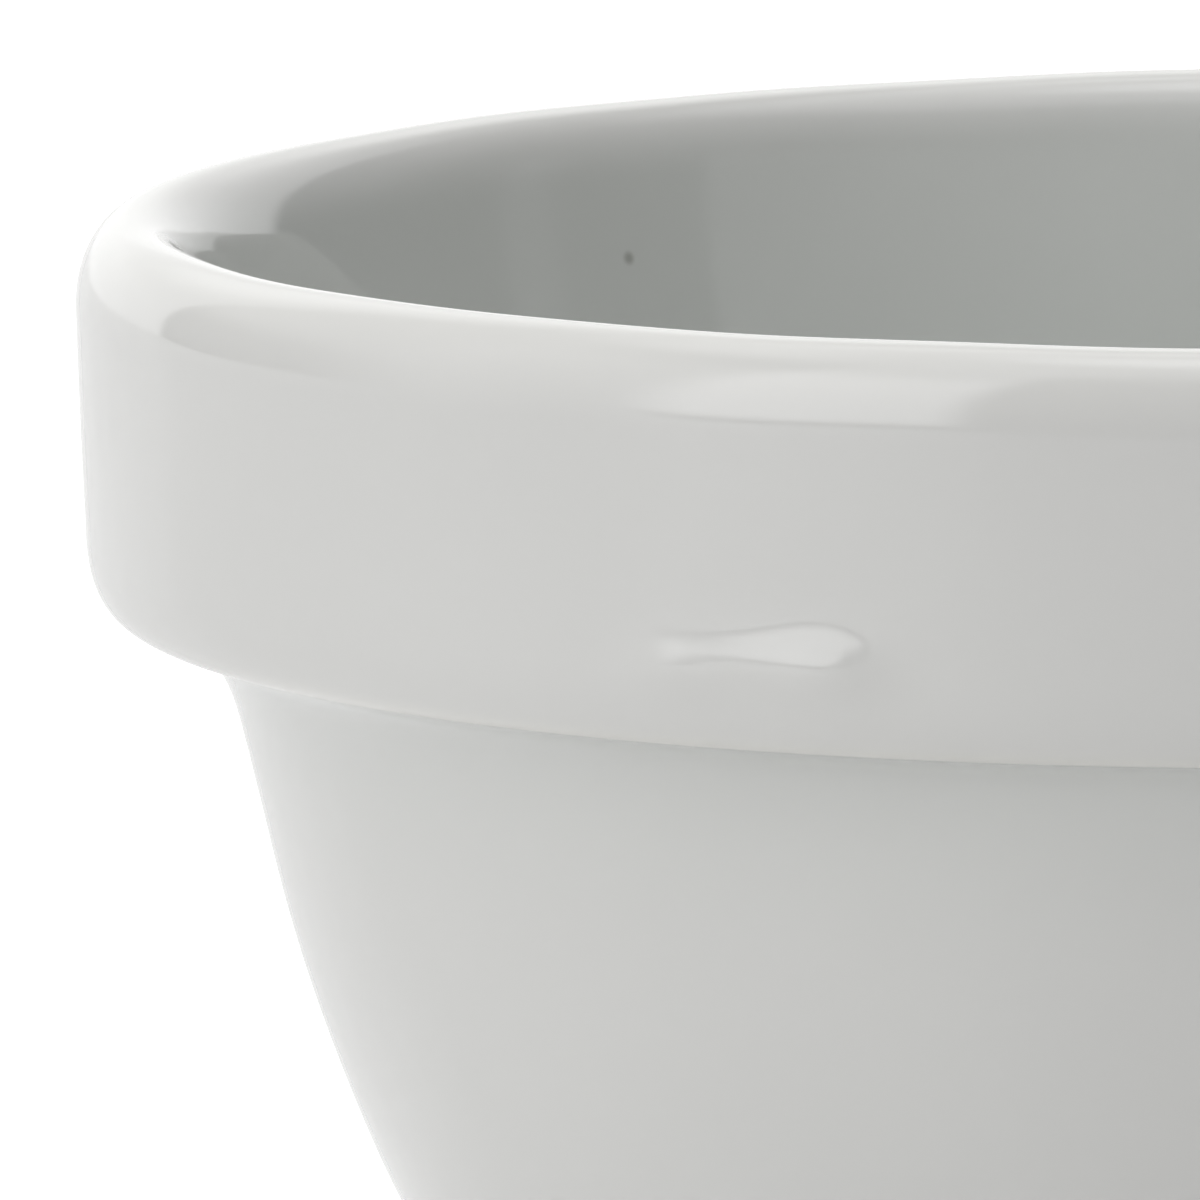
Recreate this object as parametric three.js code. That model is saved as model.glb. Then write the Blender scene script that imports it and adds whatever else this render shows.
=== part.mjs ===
// A round stacking bowl in glazed porcelain. A thick rolled lip runs into a deep collar, and the collar's
// stepped underside seats on the lip of the bowl below, while the tapered wall drops into its mouth.
// Millimetres, +Z up, with the origin on the table at the centre of the foot ring.
import * as THREE from 'three';

// Sizes over the finished, glazed surface
const height = 70;
const collarRadius = 65;
const lipOuterRun = 2.3;
const lipOuterDrop = 3.6;
const lipInnerDrop = 4;
const collarHeight = 19.87;
const collarTaper = 0.3;
const shoulderRise = 4.2;
const seatSlope = THREE.MathUtils.degToRad(5);
const seatWidth = 6.52;
const neckDrop = 5.2;
const wall = 3;
const wallSlope = THREE.MathUtils.degToRad(12.7);
const wallStraight = 10.77;
const bellyRadius = 92;
const bellySlope = THREE.MathUtils.degToRad(24);
const floorThickness = 5;

// The shares of the seat that the shoulder's round and the neck's hollow take up
const shoulderShare = 0.42;
const neckShare = 0.56;

// The foot ring, whose lowest band is bare clay
const footRadius = 32;
const footWidth = 5;
const footHeight = 6;
const footFillet = 2;
const footEdge = 0.8;
const recessDepth = 4;
const recessFillet = 2;

// The fired glass on the clay, and how far above the table it stops
const glaze = 0.4;
const glazeLine = 1.6;

// Flats round the axis, and steps along each kind of curve
const flats = 48;
const smallCurveSteps = 3;
const lipSteps = 4;
const sweepSteps = 6;

// Two points of a profile nearer than this are one point
const samePoint = 0.004;

const point = (r, z) => new THREE.Vector2(r, z);

// Straight down towards the axis on a wall that leans out by a slope, and square out of that wall
const alongWall = (slope) => point(-Math.sin(slope), -Math.cos(slope));
const outOfWall = (slope) => point(Math.cos(slope), -Math.sin(slope));

const line = (...corners) => corners;

const bend = (from, corner, to, steps) => new THREE.QuadraticBezierCurve(from, corner, to).getPoints(steps);

// An arc of a wall, from the place where it leans out by one slope to the place where it leans by another
function sweep(centre, radius, fromSlope, toSlope, steps) {
  const clockwise = toSlope > fromSlope;
  const arc = new THREE.EllipseCurve(centre.x, centre.y, radius, radius, -fromSlope, -toSlope, clockwise);
  return arc.getPoints(steps);
}

// One profile from stretches that meet end to end, with each shared end kept once
function joined(...stretches) {
  const points = stretches.flat();
  const meets = (p, i) => i > 0 && p.distanceTo(points[i - 1]) < samePoint;
  return points.filter((p, i) => !meets(p, i));
}

// The clay under a glazed profile: every side moved in by the glaze, with mitred corners
function underGlaze(profile) {
  const sides = profile.slice(1).map((p, i) => {
    const side = p.clone().sub(profile[i]).normalize();
    return point(side.y, -side.x);
  });
  return profile.map((p, i) => {
    const before = sides[Math.max(i - 1, 0)];
    const after = sides[Math.min(i, sides.length - 1)];
    const mitre = before.clone().add(after).divideScalar(1 + before.dot(after));
    return p.clone().addScaledVector(mitre, -glaze);
  });
}

// The outside from the foot up: heel, belly, straight wall, neck, seat, shoulder, collar and lip
const crest = point(collarRadius - lipOuterRun, height);
const collarCorner = point(collarRadius - collarTaper, height - collarHeight);
const seatDirection = point(-Math.cos(seatSlope), -Math.sin(seatSlope));
const seatLength = seatWidth / Math.cos(seatSlope);
const neck = collarCorner.clone().addScaledVector(seatDirection, seatLength);
const wallLength = wallStraight / Math.cos(wallSlope);
const wallEnd = neck.clone().addScaledVector(alongWall(wallSlope), wallLength);
const bellyCentre = wallEnd.clone().addScaledVector(outOfWall(wallSlope), -bellyRadius);
const bellyEnd = bellyCentre.clone().addScaledVector(outOfWall(bellySlope), bellyRadius);

// The heel is the arc that leaves the belly without a break and ends at the top of the foot ring
const footTop = point(footRadius + glaze, footHeight);
const heelChord = footTop.clone().sub(bellyEnd);
const heelRadius = heelChord.lengthSq() / (-2 * heelChord.dot(outOfWall(bellySlope)));
const heelCentre = bellyEnd.clone().addScaledVector(outOfWall(bellySlope), -heelRadius);
const heelEnd = footTop.clone().sub(heelCentre);
const heelSlope = Math.atan2(-heelEnd.y, heelEnd.x) - footFillet / heelRadius;

function outsideProfile() {
  const heel = sweep(heelCentre, heelRadius, heelSlope, bellySlope, sweepSteps);
  const belly = sweep(bellyCentre, bellyRadius, bellySlope, wallSlope, smallCurveSteps);
  const neckBelow = neck.clone().addScaledVector(alongWall(wallSlope), neckDrop);
  const neckBeside = neck.clone().addScaledVector(seatDirection, -neckShare * seatLength);
  const shoulderEnd = collarCorner.clone().addScaledVector(seatDirection, shoulderShare * seatLength);
  const collarFoot = point(collarCorner.x, collarCorner.y + shoulderRise);
  const collarTop = point(collarRadius, height - lipOuterDrop);
  const lip = new THREE.EllipseCurve(crest.x, collarTop.y, lipOuterRun, lipOuterDrop, 0, Math.PI / 2);
  return joined(
    line(point(footTop.x, glazeLine)),
    bend(point(footTop.x, footHeight - footFillet), footTop, heel[0], smallCurveSteps),
    heel,
    belly,
    bend(neckBelow, neck, neckBeside, lipSteps),
    bend(shoulderEnd, collarCorner, collarFoot, lipSteps),
    lip.getPoints(lipSteps),
  );
}

// The inside from the crest down: the lip rolls into a wall even with the outside, then comes the floor
function insideProfile() {
  const wallInside = wallEnd.clone().addScaledVector(outOfWall(wallSlope), -wall);
  const rollEnd = height - lipInnerDrop;
  const leanTo = (z) => point(wallInside.x + (z - wallInside.y) * Math.tan(wallSlope), z);
  const bellyInside = sweep(bellyCentre, bellyRadius - wall, wallSlope, bellySlope, smallCurveSteps);
  const heelStart = bellyInside[bellyInside.length - 1];
  const floorTop = recessDepth + floorThickness;
  const heelInside = (heelStart.y - floorTop) / (1 - Math.sin(bellySlope));
  const heelAxis = heelStart.clone().addScaledVector(outOfWall(bellySlope), -heelInside);
  return joined(
    bend(crest, leanTo(height), leanTo(rollEnd), lipSteps),
    bellyInside,
    sweep(heelAxis, heelInside, bellySlope, Math.PI / 2, sweepSteps),
    line(point(0, floorTop)),
  );
}

// The underside within the foot ring, from the axis out and down the ring's inner face
function recessProfile() {
  const ringFace = footRadius - footWidth - glaze;
  const corner = point(ringFace, recessDepth);
  const roofEnd = point(ringFace - recessFillet, recessDepth);
  const faceStart = point(ringFace, recessDepth - recessFillet);
  return joined(
    line(point(0, recessDepth)),
    bend(roofEnd, corner, faceStart, smallCurveSteps),
    line(point(ringFace, glazeLine)),
  );
}

// The bare band that stands on the table, from the ring's inner face round to its outer face
function footBand() {
  const ringFace = footRadius - footWidth;
  const innerEdge = bend(
    point(ringFace, footEdge),
    point(ringFace, 0),
    point(ringFace + footEdge, 0),
    smallCurveSteps,
  );
  const outerEdge = bend(
    point(footRadius - footEdge, 0),
    point(footRadius, 0),
    point(footRadius, footEdge),
    smallCurveSteps,
  );
  return [...innerEdge, ...outerEdge];
}

function turned(name, profile, material) {
  const geometry = new THREE.LatheGeometry(profile, flats);
  geometry.rotateX(Math.PI / 2);
  const mesh = new THREE.Mesh(geometry, material);
  mesh.name = name;
  return mesh;
}

const porcelain = new THREE.MeshStandardMaterial({ color: 0xe3ddd0, roughness: 0.85, metalness: 0 });
const paleGlaze = new THREE.MeshStandardMaterial({ color: 0xd3d6d1, roughness: 0.08, metalness: 0 });

const glazedSurface = joined(outsideProfile(), insideProfile());
const clayUnderCoat = underGlaze(glazedSurface);
const glazedRecess = recessProfile();
const clayUnderRecess = underGlaze(glazedRecess);

const clayProfile = [...clayUnderRecess, ...footBand(), ...clayUnderCoat];
const coatProfile = [...clayUnderCoat.toReversed(), ...glazedSurface];
const baseProfile = [...glazedRecess, ...clayUnderRecess.toReversed()];

const bowl = new THREE.Group();
bowl.add(turned('porcelain_body', clayProfile, porcelain));
bowl.add(turned('glaze_coat', coatProfile, paleGlaze));
bowl.add(turned('base_glaze', baseProfile, paleGlaze));

export default bowl;
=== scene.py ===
import bpy
import numpy as np
from mathutils import Matrix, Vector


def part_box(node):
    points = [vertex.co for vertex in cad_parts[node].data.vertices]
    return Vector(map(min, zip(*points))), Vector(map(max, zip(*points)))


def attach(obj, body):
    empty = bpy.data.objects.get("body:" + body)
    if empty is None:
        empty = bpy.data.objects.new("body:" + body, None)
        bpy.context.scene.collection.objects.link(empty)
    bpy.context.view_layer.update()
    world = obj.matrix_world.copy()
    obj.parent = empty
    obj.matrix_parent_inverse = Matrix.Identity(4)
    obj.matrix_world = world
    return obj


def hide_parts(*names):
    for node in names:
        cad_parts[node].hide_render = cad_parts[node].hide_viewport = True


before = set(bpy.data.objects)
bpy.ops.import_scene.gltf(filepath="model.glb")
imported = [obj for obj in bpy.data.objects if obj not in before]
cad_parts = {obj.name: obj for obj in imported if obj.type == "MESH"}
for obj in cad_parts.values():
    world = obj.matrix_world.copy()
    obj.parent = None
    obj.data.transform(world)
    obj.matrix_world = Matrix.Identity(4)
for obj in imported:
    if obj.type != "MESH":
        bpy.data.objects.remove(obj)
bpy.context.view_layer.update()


# The clay body: one piece of white clay, shaped on a wheel against a profile tool, with the rolled lip,
# the stacking collar, the wall and the foot ring in one. It is fired hard, and only the band of the foot
# ring that stands on the table stays bare, rubbed smooth so that it doesn't scratch.
clay_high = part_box("porcelain_body")[1]
coat_low, coat_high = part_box("glaze_coat")
base_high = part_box("base_glaze")[1]
bowl_height = coat_high.z
collar_radius = coat_high.x
glaze_depth = coat_high.z - clay_high.z
glaze_line = coat_low.z
lip_outer_run = 0.0027
lip_outer_drop = 0.0043
lip_inner_drop = 0.0036
collar_height = 0.01987
collar_taper = 0.0003
shoulder_rise = 0.0042
seat_slope = np.radians(5)
seat_width = 0.00652
shoulder_share = 0.42
neck_share = 0.56
neck_drop = 0.0052
wall_thickness = 0.0030
wall_slope = np.radians(12.7)
wall_straight = 0.01077
belly_radius = 0.092
belly_slope = np.radians(24)
floor_thickness = 0.0050
foot_radius = 0.0320
foot_height = 0.0060
foot_fillet = 0.0020
foot_edge = 0.0008
recess_depth = base_high.z - glaze_depth
recess_radius = base_high.x
recess_fillet = 0.0020
clay_shade = (0.60, 0.55, 0.46, 1)
clay_light = (0.72, 0.68, 0.60, 1)
clay_grain = (0.50, 0.45, 0.37, 1)
clay_roughness = 0.82
clay_cloud_scale = 120.0
clay_grain_scale = 2600.0
clay_grain_height = 0.0001
# points round the axis, and how much finer than the fewest steps a hidden and a shown surface is
turns_round = 336
hidden_steps = 2
shown_steps = 4
# the stretches of the glazed section in order, each with its fewest steps, and those of the underside
stretch_steps = {
    "foot": 1,
    "foot_corner": 2,
    "heel": 5,
    "belly": 3,
    "wall": 2,
    "neck": 5,
    "seat": 1,
    "shoulder": 6,
    "collar": 4,
    "lip": 5,
    "lip_roll": 5,
    "inner_wall": 4,
    "inner_belly": 2,
    "inner_heel": 3,
    "floor": 1,
}
recess_steps = 3


def line(start, end, steps):
    """Points at even steps along the straight from start to end."""
    return np.linspace(start, end, steps + 1)


def bend(start, corner, end, steps):
    """A rounded corner: each point is (1-t)^2 start + 2t(1-t) corner + t^2 end."""
    t = np.linspace(0, 1, steps + 1)[:, None]
    return (1 - t) ** 2 * start + 2 * t * (1 - t) * corner + t ** 2 * end


def out_of_wall(slope):
    """The direction square out of a wall that leans out by slope: (cos, -sin)."""
    return np.array([np.cos(slope), -np.sin(slope)])


def along_wall(slope):
    """The direction down a wall that leans out by slope: (-sin, -cos)."""
    return np.array([-np.sin(slope), -np.cos(slope)])


def sweep(centre, radius, from_slope, to_slope, steps):
    """An arc of wall: centre + radius (cos, -sin) of slopes at even steps."""
    slope = np.linspace(from_slope, to_slope, steps + 1)
    return centre + radius * np.stack([np.cos(slope), -np.sin(slope)], axis=1)


def joined(*stretches):
    """Stretches that meet end to end, with each shared end kept once."""
    return np.concatenate([stretches[0]] + [s[1:] for s in stretches[1:]])


def outward(profile):
    """At each point of a profile, the direction square to it on the side of the air: its direction of
    travel given a quarter turn to the right."""
    travel = np.gradient(profile, axis=0)
    travel /= np.linalg.norm(travel, axis=1)[:, None]
    return np.stack([travel[:, 1], -travel[:, 0]], axis=1)


def glazed_profile(fine):
    """The finished section as (radius, height): stretches of line, bend and arc from the glaze line on the
    foot up the outside, over the lip, whose outer roll is a quarter of an ellipse, and down the inside to
    the axis, with fine times the fewest steps on each."""
    steps = {stretch: fine * fewest for stretch, fewest in stretch_steps.items()}
    crest = np.array([collar_radius - lip_outer_run, bowl_height])
    collar_corner = np.array([collar_radius - collar_taper, bowl_height - collar_height])
    collar_foot = collar_corner + [0, shoulder_rise]
    seat_inward = np.array([-np.cos(seat_slope), -np.sin(seat_slope)])
    seat_length = seat_width / np.cos(seat_slope)
    shoulder_end = collar_corner + shoulder_share * seat_length * seat_inward
    neck = collar_corner + seat_length * seat_inward
    neck_beside = neck - neck_share * seat_length * seat_inward
    neck_below = neck + neck_drop * along_wall(wall_slope)
    wall_end = neck + wall_straight / np.cos(wall_slope) * along_wall(wall_slope)
    belly_centre = wall_end - belly_radius * out_of_wall(wall_slope)
    belly_end = belly_centre + belly_radius * out_of_wall(belly_slope)

    foot_top = np.array([foot_radius + glaze_depth, foot_height])
    foot_end = foot_top - [0, foot_fillet]
    chord = foot_top - belly_end
    heel_radius = chord @ chord / (-2 * chord @ out_of_wall(belly_slope))
    heel_centre = belly_end - heel_radius * out_of_wall(belly_slope)
    foot_slope = np.arctan2(heel_centre[1] - foot_top[1], foot_top[0] - heel_centre[0])
    heel_slope = foot_slope - foot_fillet / heel_radius
    heel = sweep(heel_centre, heel_radius, heel_slope, belly_slope, steps["heel"])

    lip_turn = np.linspace(0, np.pi / 2, steps["lip"] + 1)
    lip_reach = np.stack([lip_outer_run * np.cos(lip_turn), lip_outer_drop * np.sin(lip_turn)], axis=1)
    lip_outside = crest - [0, lip_outer_drop] + lip_reach
    outside = joined(
        line([foot_top[0], glaze_line], foot_end, steps["foot"]),
        bend(foot_end, foot_top, heel[0], steps["foot_corner"]),
        heel,
        sweep(belly_centre, belly_radius, belly_slope, wall_slope, steps["belly"]),
        line(wall_end, neck_below, steps["wall"]),
        bend(neck_below, neck, neck_beside, steps["neck"]),
        line(neck_beside, shoulder_end, steps["seat"]),
        bend(shoulder_end, collar_corner, collar_foot, steps["shoulder"]),
        line(collar_foot, lip_outside[0], steps["collar"]),
        lip_outside,
    )

    inner_end = wall_end - wall_thickness * out_of_wall(wall_slope)
    lean = np.tan(wall_slope)
    lip_corner = inner_end + [(bowl_height - inner_end[1]) * lean, bowl_height - inner_end[1]]
    roll_end = lip_corner - [lip_inner_drop * lean, lip_inner_drop]
    inner_radius = belly_radius - wall_thickness
    belly_inside = sweep(belly_centre, inner_radius, wall_slope, belly_slope, steps["inner_belly"])
    floor_top = recess_depth + floor_thickness
    heel_inside = (belly_inside[-1][1] - floor_top) / (1 - np.sin(belly_slope))
    heel_axis = belly_inside[-1] - heel_inside * out_of_wall(belly_slope)
    inside = joined(
        bend(crest, lip_corner, roll_end, steps["lip_roll"]),
        line(roll_end, inner_end, steps["inner_wall"]),
        belly_inside,
        sweep(heel_axis, heel_inside, belly_slope, np.pi / 2, steps["inner_heel"]),
        line(heel_axis - [0, heel_inside], [0, floor_top], steps["floor"]),
    )
    return joined(outside, inside)


def recess_profile(fine):
    """The glazed underside as (radius, height): straight out from the axis, round the corner and straight
    down the ring's inner face."""
    ring_face = recess_radius - glaze_depth
    corner = np.array([ring_face, recess_depth])
    roof_end = corner - [recess_fillet, 0]
    face_start = corner - [0, recess_fillet]
    return joined(
        line([0, recess_depth], roof_end, recess_steps * fine),
        bend(roof_end, corner, face_start, recess_steps * fine),
        line(face_start, [ring_face, glaze_line], fine),
    )


def foot_band(steps):
    """The bare band from the ring's inner face round its two rubbed edges to its outer face."""
    inner_edge = recess_radius + foot_edge
    outer_edge = foot_radius - foot_edge
    return joined(
        bend([recess_radius, foot_edge], [recess_radius, 0], [inner_edge, 0], steps),
        line([inner_edge, 0], [outer_edge, 0], steps),
        bend([outer_edge, 0], [foot_radius, 0], [foot_radius, foot_edge], steps),
    )


def under_glaze(profile):
    """The clay under a glazed profile: each point moved in by the glaze, square to the surface."""
    return profile - glaze_depth * outward(profile)


def turned(name, profile, swell=None):
    """A profile carried once round the axis: point (r cos a, r sin a, z), moved out along the profile's
    own square by swell. The first and last points lie on the axis and become single points that close
    the ends."""
    angle = np.linspace(0, 2 * np.pi, turns_round, endpoint=False)
    if swell is None:
        swell = np.zeros((len(profile), turns_round))
    square = outward(profile)
    radius = (profile[:, :1] + swell * square[:, :1])[1:-1]
    height = (profile[:, 1:] + swell * square[:, 1:])[1:-1]
    rings = np.stack([radius * np.cos(angle), radius * np.sin(angle), height], axis=-1)
    ends = [[0, 0, profile[0][1]], [0, 0, profile[-1][1]]]
    number = np.arange(radius.size).reshape(radius.shape)
    beside = np.roll(number, -1, axis=1)
    walls = np.stack([number[:-1], beside[:-1], beside[1:], number[1:]], axis=-1).reshape(-1, 4)
    first = radius.size
    last = first + 1
    start_cap = np.stack([np.full(turns_round, first), beside[0], number[0]], axis=-1)
    end_cap = np.stack([np.full(turns_round, last), number[-1], beside[-1]], axis=-1)
    mesh = bpy.data.meshes.new(name)
    mesh.from_pydata(
        np.concatenate([rings.reshape(-1, 3), ends]).tolist(),
        [],
        walls.tolist() + start_cap.tolist() + end_cap.tolist(),
    )
    mesh.polygons.foreach_set("use_smooth", np.ones(len(mesh.polygons), bool))
    piece = bpy.data.objects.new(name, mesh)
    bpy.context.scene.collection.objects.link(piece)
    return piece


clay_under_coat = under_glaze(glazed_profile(hidden_steps))
clay_under_recess = under_glaze(recess_profile(hidden_steps))
clay_section = np.concatenate([clay_under_recess, foot_band(shown_steps), clay_under_coat])
clay_body = turned("clay_body", clay_section)


def shader_tree(name):
    """A new material with its node tree and its Principled shader."""
    material = bpy.data.materials.new(name)
    material.use_nodes = True
    return material, material.node_tree, material.node_tree.nodes["Principled BSDF"]


def add_node(tree, kind, sockets=(), **settings):
    """A node with its settings, and each socket, by name or number, set to a value or wired from another
    node's output."""
    node = tree.nodes.new(kind)
    for key, value in settings.items():
        setattr(node, key, value)
    for key, value in dict(sockets).items():
        if isinstance(value, bpy.types.NodeSocket):
            tree.links.new(value, node.inputs[key])
        else:
            node.inputs[key].default_value = value
    return node


def blended(tree, factor, first, second):
    """A colour between two, (1 - factor) first + factor second. A Mix node keeps its two colours in inputs
    6 and 7 and their blend in output 2."""
    sockets = {"Factor": factor, 6: first, 7: second}
    return add_node(tree, "ShaderNodeMix", sockets, data_type="RGBA").outputs[2]


def bare_clay():
    """Hard-fired white clay: cream, matt, clouded, with fine darker grains that also roughen it."""
    material, tree, shader = shader_tree("bare_clay")
    place = add_node(tree, "ShaderNodeTexCoord").outputs["Object"]
    grain = add_node(tree, "ShaderNodeTexNoise", {
        "Vector": place,
        "Scale": clay_grain_scale,
        "Detail": 4.0,
    }).outputs["Fac"]
    cloud = add_node(tree, "ShaderNodeTexNoise", {
        "Vector": place,
        "Scale": clay_cloud_scale,
        "Detail": 3.0,
    }).outputs["Fac"]
    body = blended(tree, cloud, clay_shade, clay_light)
    off_grain = add_node(tree, "ShaderNodeMapRange", {
        "Value": grain,
        "From Min": 0.35,
        "From Max": 0.6,
    }).outputs["Result"]
    tree.links.new(blended(tree, off_grain, clay_grain, body), shader.inputs["Base Color"])
    shader.inputs["Roughness"].default_value = clay_roughness
    bump = add_node(tree, "ShaderNodeBump", {
        "Height": grain,
        "Strength": 0.35,
        "Distance": clay_grain_height,
    })
    tree.links.new(bump.outputs["Normal"], shader.inputs["Normal"])
    return material


clay_body.data.materials.append(bare_clay())
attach(clay_body, "root")
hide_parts("porcelain_body")


# The glaze coat: fired glass that runs in one skin from the foot up the outside, over the lip and down the
# inside. It was dipped on and melted, so it lies a little unevenly, is thin and warm on the edges and pools
# pale green in the hollows. Its colour also carries painted shade, darker and greener over the whole inside
# and in the neck under the collar, and painted light, paler on the shoulder's lower edge. One iron speck
# has burned through on the inside.
wave_seed = 11
wave_height = 0.000012
wave_count = 14
wave_turns = (2, 24)
wave_lengths = (0.012, 0.05)
neck_calm = 0.004
# heading round to the left of the front in degrees, depth under the crest, half-width, half-height and
# how far each gather of glass stands out, low on the collar
glaze_gathers = (
    (31.4, 0.0161, 0.0017, 0.0010, 0.00036),
    (27.6, 0.0157, 0.0016, 0.0009, 0.00027),
    (23.9, 0.0157, 0.0019, 0.0011, 0.00056),
)
# how thick the glass lies, from 0, drawn off an edge, to 1, pooled in a hollow: at the bare band, and at
# the end of each stretch. The neck and the inside are set thicker than their glass as painted shade, so
# that they come out darker and greener.
edge_thickness = 0.3
glaze_thickness_and_painted_light = {
    "foot": 0.5,
    "foot_corner": 0.8,
    "heel": 0.5,
    "belly": 0.5,
    "wall": 0.55,
    # painted shade: the neck is set thicker than even, so its glass comes out darker under the collar
    "neck": 0.62,
    "seat": 0.5,
    "shoulder": 0.5,
    "collar": 0.5,
    "lip": 0.38,
    # painted shade: from the inner roll down, the inside is set thick so that it comes out darker and
    # greener than the outside, on top of the glass that really pools there
    "lip_roll": 0.6,
    "inner_wall": 0.75,
    "inner_belly": 0.75,
    "inner_heel": 0.85,
    "floor": 0.9,
}
# the shoulder's lower edge, which the melted glass drew off: how far past the seat it lies, its half-width
# and how much thinner the glass is there, which also paints light on this downward-facing edge by making
# its glass paler
drawn_past_seat = 0.0009
drawn_half_width = 0.0007
drawn_thinner_and_lit = 0.2
# the glass's colour where it is drawn off, thin, even and pooled, and the thickness that is thin and even;
# the thin colour also paints light on the shoulder's lower edge, and the pooled colour also paints shade
# over the inside and the neck
drawn_colour = (0.72, 0.68, 0.58, 1)
thin_and_lit_colour = (0.765, 0.76, 0.725, 1)
even_colour = (0.665, 0.665, 0.65, 1)
pooled_and_shaded_colour = (0.555, 0.60, 0.57, 1)
thin_glass = 0.25
even_glass = 0.5
# the gloss fails between these two thicknesses
dull_glass = 0.2
glossy_glass = 0.36
dull_roughness = 0.35
glossy_roughness = 0.06
glass_ior = 1.5
glass_cloud_scale = 60.0
glass_cloud_share = 0.015
speck_place = (-0.03882, 0.04306, 0.06228)
speck_core = 0.000068
speck_radius = 0.00051
speck_colour = (0.40, 0.40, 0.38, 1)


def run_along(profile):
    """The distance along a profile to each of its points."""
    step = np.linalg.norm(np.diff(profile, axis=0), axis=1)
    return np.concatenate([[0], np.cumsum(step)])


def bell(away, half_width):
    """A smooth hump: e to the power of minus half the square of away over half_width."""
    return np.exp(-0.5 * (away / half_width) ** 2)


def melted_edge(finished_end, clay_end, before_end):
    """The rounded end of the glass at the bare band, from the clay out and round to its face."""
    return bend(clay_end, finished_end, before_end, shown_steps)


finished = glazed_profile(shown_steps)
run = run_along(finished)
stretch_ends = shown_steps * np.cumsum([0] + list(stretch_steps.values()))
end_of = dict(zip(stretch_steps, stretch_ends[1:]))


def uneven_glaze():
    """How far the glass stands off its even depth: slow waves of whole numbers of turns round the bowl,
    each with its own length along the section, calm at the neck and towards the axis, and the bells where
    glass gathered."""
    random = np.random.default_rng(wave_seed)
    angle = np.linspace(0, 2 * np.pi, turns_round, endpoint=False)
    swell = np.zeros((len(finished), turns_round))
    for turns in random.integers(*wave_turns, wave_count):
        length = random.uniform(*wave_lengths)
        phase, tilt = random.uniform(0, 2 * np.pi, 2)
        along = np.cos(2 * np.pi * run / length + tilt)
        swell += wave_height * along[:, None] * np.cos(turns * angle + phase)
    calm = 1 - bell(run - run[end_of["neck"]], neck_calm)
    swell *= (calm * np.clip(finished[:, 0] / foot_radius, 0, 1))[:, None]
    outside = np.arange(len(finished)) < end_of["lip"]
    depth = bowl_height - finished[:, 1]
    left_of_front = np.degrees((-np.pi / 2 - angle + np.pi) % (2 * np.pi) - np.pi)
    for at_heading, at_depth, half_width, half_height, stands_out in glaze_gathers:
        across = bell(np.radians(left_of_front - at_heading) * collar_radius, half_width)
        down = bell(depth - at_depth, half_height) * outside
        swell += stands_out * down[:, None] * across
    return swell


behind = clay_under_coat[:0:-1]
edge = melted_edge(finished[0], clay_under_coat[0], finished[0] + [0, glaze_depth])
coat_profile = np.concatenate([behind, edge, finished[1:]])
even_points = len(behind) + len(edge)
coat_swell = np.concatenate([np.zeros((even_points, turns_round)), uneven_glaze()[1:]])
glaze_skin = turned("glaze_skin", coat_profile, coat_swell)

# each point of the skin carries the thickness of its glass, with the painted shade of the inside and neck
# and the painted light of the shoulder's lower edge in it, which its colour and gloss follow
thickness = np.interp(np.arange(len(finished)), stretch_ends, [edge_thickness, *glaze_thickness_and_painted_light.values()])
# painted light: the shoulder's lower edge is made thinner and so paler, standing in for light on this
# downward-facing edge as well as for thin glass
thickness -= drawn_thinner_and_lit * bell(run - run[end_of["seat"]] - drawn_past_seat, drawn_half_width)
coat_thickness_and_painted_light = np.concatenate([np.full(even_points, edge_thickness), thickness[1:]])
point_thickness_and_painted_light = np.concatenate([np.repeat(coat_thickness_and_painted_light[1:-1], turns_round), coat_thickness_and_painted_light[[0, -1]]])
painted_light_thickness_layer = glaze_skin.data.attributes.new("glaze_thickness_and_painted_light", "FLOAT", "POINT")
painted_light_thickness_layer.data.foreach_set("value", point_thickness_and_painted_light.astype(np.float32))


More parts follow.
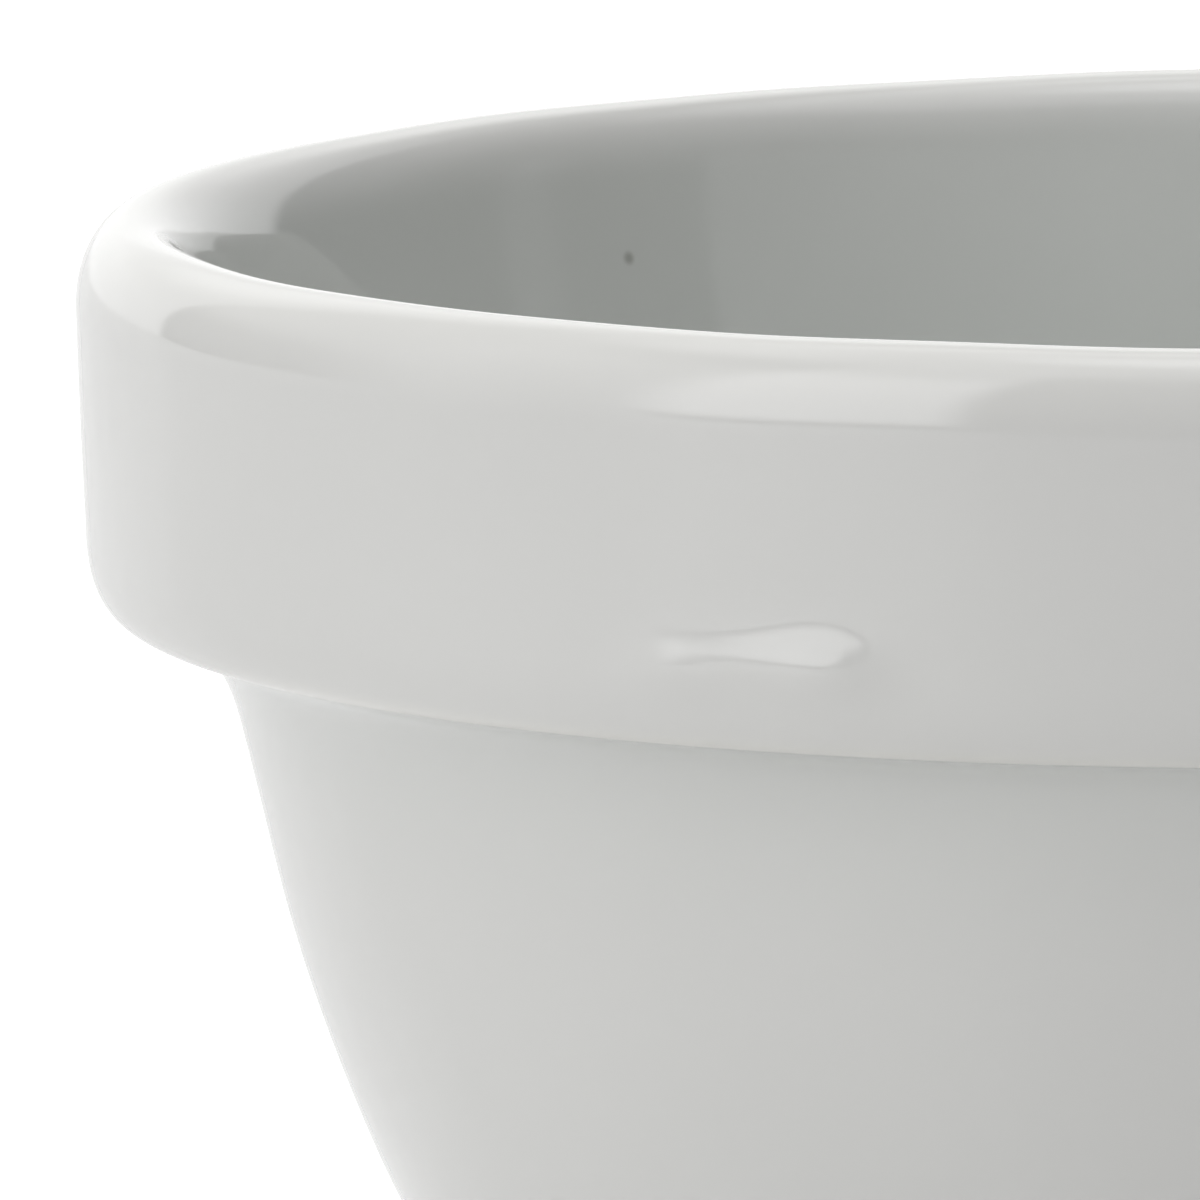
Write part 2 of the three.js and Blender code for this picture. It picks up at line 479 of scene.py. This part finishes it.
def fired_glaze(name, graded):
    """Pale grey-green glass on white clay, by its thickness: cream and less glossy where it is drawn
    thin, greener where it pools, faintly clouded all over, and darker within a speck's radius of its
    place. The thickness also carries painted shade, darker and greener inside and in the neck, and painted
    light, paler on the shoulder's lower edge. Glass that isn't graded is even."""
    material, tree, shader = shader_tree(name)
    place = add_node(tree, "ShaderNodeTexCoord").outputs["Object"]
    ramp = add_node(tree, "ShaderNodeValToRGB")
    stops = ramp.color_ramp.elements
    # the pooled stop also paints shade inside and in the neck, and the thin stop paints light on the
    # shoulder's lower edge
    stops[0].color = drawn_colour
    stops[1].color = pooled_and_shaded_colour
    stops.new(thin_glass).color = thin_and_lit_colour
    stops.new(even_glass).color = even_colour
    if graded:
        lies_with_painted_light = add_node(tree, "ShaderNodeAttribute", attribute_name="glaze_thickness_and_painted_light").outputs["Fac"]
        tree.links.new(lies_with_painted_light, ramp.inputs["Fac"])
        gloss = add_node(tree, "ShaderNodeMapRange", {
            "Value": lies_with_painted_light,
            "From Min": dull_glass,
            "From Max": glossy_glass,
            "To Min": dull_roughness,
            "To Max": glossy_roughness,
        })
        tree.links.new(gloss.outputs["Result"], shader.inputs["Roughness"])
    else:
        ramp.inputs["Fac"].default_value = even_glass
        shader.inputs["Roughness"].default_value = glossy_roughness
    cloud = add_node(tree, "ShaderNodeTexNoise", {
        "Vector": place,
        "Scale": glass_cloud_scale,
        "Detail": 3.0,
    }).outputs["Fac"]
    shade = add_node(tree, "ShaderNodeMapRange", {
        "Value": cloud,
        "To Min": 1 - glass_cloud_share,
        "To Max": 1 + glass_cloud_share,
    })
    tinted = add_node(tree, "ShaderNodeVectorMath", {
        0: ramp.outputs["Color"],
        "Scale": shade.outputs["Result"],
    }, operation="SCALE")
    away = add_node(tree, "ShaderNodeVectorMath", {0: place, 1: speck_place}, operation="DISTANCE")
    off_speck = add_node(tree, "ShaderNodeMapRange", {
        "Value": away.outputs["Value"],
        "From Min": speck_core,
        "From Max": speck_radius,
    }, interpolation_type="SMOOTHSTEP")
    spotted = blended(tree, off_speck.outputs["Result"], speck_colour, tinted.outputs["Vector"])
    tree.links.new(spotted, shader.inputs["Base Color"])
    shader.inputs["IOR"].default_value = glass_ior
    return material


glaze_skin.data.materials.append(fired_glaze("fired_glaze", True))
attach(glaze_skin, "root")
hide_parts("glaze_coat")


# The base glaze: the patch of the same glass inside the foot ring, dipped with the rest and wiped off the
# band that stands in the kiln. It lies flat under the floor and turns down the ring's inner face to the
# bare band.
recess = recess_profile(shown_steps)
face_start = len(recess) - shown_steps - 1
ring_edge = melted_edge(recess[-1], clay_under_recess[-1], recess[face_start])[::-1]
base_profile = np.concatenate([recess[:face_start], ring_edge, clay_under_recess[-2::-1]])
base_skin = turned("base_skin", base_profile)
base_skin.data.materials.append(fired_glaze("base_fired_glaze", False))
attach(base_skin, "root")
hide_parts("base_glaze")


# The stage: a wide pale table just under the foot, which keeps the bowl's shadow and is lifted to white
# for the camera alone.
table_reach = 4.0
table_gap = 0.0001
table_white = (0.85, 0.85, 0.85, 1)
table_roughness = 0.4
table_lift = 0.35
table_corners = ((-1, -1), (1, -1), (1, 1), (-1, 1))
table_mesh = bpy.data.meshes.new("table")
table_mesh.from_pydata(
    [(x * table_reach, y * table_reach, -table_gap) for x, y in table_corners],
    [],
    [(0, 1, 2, 3)],
)
table = bpy.data.objects.new("table", table_mesh)
bpy.context.scene.collection.objects.link(table)
table_material, table_tree, table_shader = shader_tree("table_white")
table_shader.inputs["Base Color"].default_value = table_white
table_shader.inputs["Roughness"].default_value = table_roughness
table_shader.inputs["Emission Color"].default_value = (1, 1, 1, 1)
seen = add_node(table_tree, "ShaderNodeLightPath").outputs["Is Camera Ray"]
lift = add_node(table_tree, "ShaderNodeMath", {0: seen, 1: table_lift}, operation="MULTIPLY")
table_tree.links.new(lift.outputs["Value"], table_shader.inputs["Emission Strength"])
table_mesh.materials.append(table_material)


# The light: a soft white studio drawn on the sky by direction, a sum of panels over a dim room. To the
# camera itself the sky is white.
ambient = 0.145
all_round_left = (-999, 1)
all_round_right = (999, 1)
past_the_top = (120, 1)
# Each panel: the side its heading is measured from, its left and right end with their soft edges, its low
# and high end with theirs (degrees), and its light. Headings from the front grow to the left, and those
# from the back to the right.
panels = {
    "backdrop": ("back", (-46, 2), (41, 4), (-20, 4), (40, 30), 0.78),
    "backdrop_low": ("back", (-46, 2), (41, 4), (-20, 4), (14, 12), 0.28),
    "backdrop_middle": ("back", (-40, 20), (16, 16), (24, 24), (66, 12), 0.75),
    "backdrop_right": ("back", (16, 16), (64, 16), (14, 16), (66, 12), 0.22),
    "overhead": ("front", all_round_left, all_round_right, (76, 14), past_the_top, 3.15),
    "overhead_low": ("front", all_round_left, all_round_right, (56, 14), (76, 14), 1.14),
    "window": ("front", (36, 6), (66, 10), (2, 4), (56, 24), 1.5),
    "window_heart": ("front", (36, 6), (66, 10), (4, 5), (44, 14), 1.25),
    "left_wall": ("front", (64, 10), (100, 24), (-20, 4), (46, 20), 0.82),
    "left_high": ("front", (98, 24), (134, 6), (16, 10), (62, 12), 0.42),
    "fill": ("front", (-73, 2), (-20, 20), (9, 5), (22, 8), 0.55),
    "gap": ("front", (-99, 2), (-91, 3), (6, 6), (26, 8), 0.3),
}
sky = bpy.data.worlds.new("studio")
sky.use_nodes = True
bpy.context.scene.world = sky
studio = sky.node_tree
sky_light = studio.nodes["Background"]


def worked(operation, *values):
    """One sum on values, each a number or another node's output."""
    return add_node(studio, "ShaderNodeMath", dict(enumerate(values)), operation=operation).outputs[0]


def rise(value, at, soft, low=0.0, high=1.0):
    """A smooth step of value from low to high, centred at a place and soft wide."""
    return add_node(studio, "ShaderNodeMapRange", {
        "Value": value,
        "From Min": at - soft / 2,
        "From Max": at + soft / 2,
        "To Min": low,
        "To Max": high,
    }, interpolation_type="SMOOTHSTEP").outputs["Result"]


def fall(value, at, soft):
    """A smooth step of value from 1 down to 0."""
    return rise(value, at, soft, 1.0, 0.0)


direction = add_node(studio, "ShaderNodeTexCoord").outputs["Generated"]
axes = add_node(studio, "ShaderNodeSeparateXYZ", {"Vector": direction}).outputs
leftward = worked("MULTIPLY", axes["X"], -1.0)
frontward = worked("MULTIPLY", axes["Y"], -1.0)
heading = {
    "front": worked("DEGREES", worked("ARCTAN2", leftward, frontward)),
    "back": worked("DEGREES", worked("ARCTAN2", axes["X"], axes["Y"])),
}
elevation = worked("DEGREES", worked("ARCSINE", axes["Z"]))
light = ambient
for side, left, right, low, high, strength in panels.values():
    across = worked("MULTIPLY", rise(heading[side], *left), fall(heading[side], *right))
    upward = worked("MULTIPLY", rise(elevation, *low), fall(elevation, *high))
    glow = worked("MULTIPLY", worked("MULTIPLY", across, upward), strength)
    light = worked("ADD", light, glow)
shown = add_node(studio, "ShaderNodeLightPath").outputs["Is Camera Ray"]
mixed = add_node(studio, "ShaderNodeMix", {"Factor": shown, "A": light, "B": 1.0}, data_type="FLOAT")
studio.links.new(mixed.outputs["Result"], sky_light.inputs["Strength"])
sky_light.inputs["Color"].default_value = (1, 1, 1, 1)


# The camera: a long lens a metre from the bowl and a little above the lip. It is turned and dipped towards
# the bowl's left half and rolled by less than a degree.
camera_distance = 1.0
camera_lift = np.radians(6.4944)
camera_turn = np.radians(-2.2406)
camera_dip = np.radians(7.6280)
camera_roll = np.radians(-0.7603)
focal_pixels = 19868.05
frame_pixels = 1200
sensor_width = 36.0
camera_place = np.array([
    0,
    -camera_distance * np.cos(camera_lift),
    bowl_height + camera_distance * np.sin(camera_lift),
])
forward = np.array([
    np.sin(camera_turn) * np.cos(camera_dip),
    np.cos(camera_turn) * np.cos(camera_dip),
    -np.sin(camera_dip),
])
level = np.array([np.cos(camera_turn), -np.sin(camera_turn), 0])
above = np.cross(level, forward)
camera_right = np.cos(camera_roll) * level + np.sin(camera_roll) * above
camera_up = np.cos(camera_roll) * above - np.sin(camera_roll) * level
stand = np.eye(4)
stand[:3, :3] = np.stack([camera_right, camera_up, -forward], axis=1)
stand[:3, 3] = camera_place
lens = bpy.data.cameras.new("camera")
lens.sensor_width = sensor_width
lens.lens = sensor_width * focal_pixels / frame_pixels
camera = bpy.data.objects.new("camera", lens)
bpy.context.scene.collection.objects.link(camera)
camera.matrix_world = Matrix(stand.tolist())
bpy.context.scene.camera = camera
bpy.context.scene.view_settings.view_transform = "Standard"
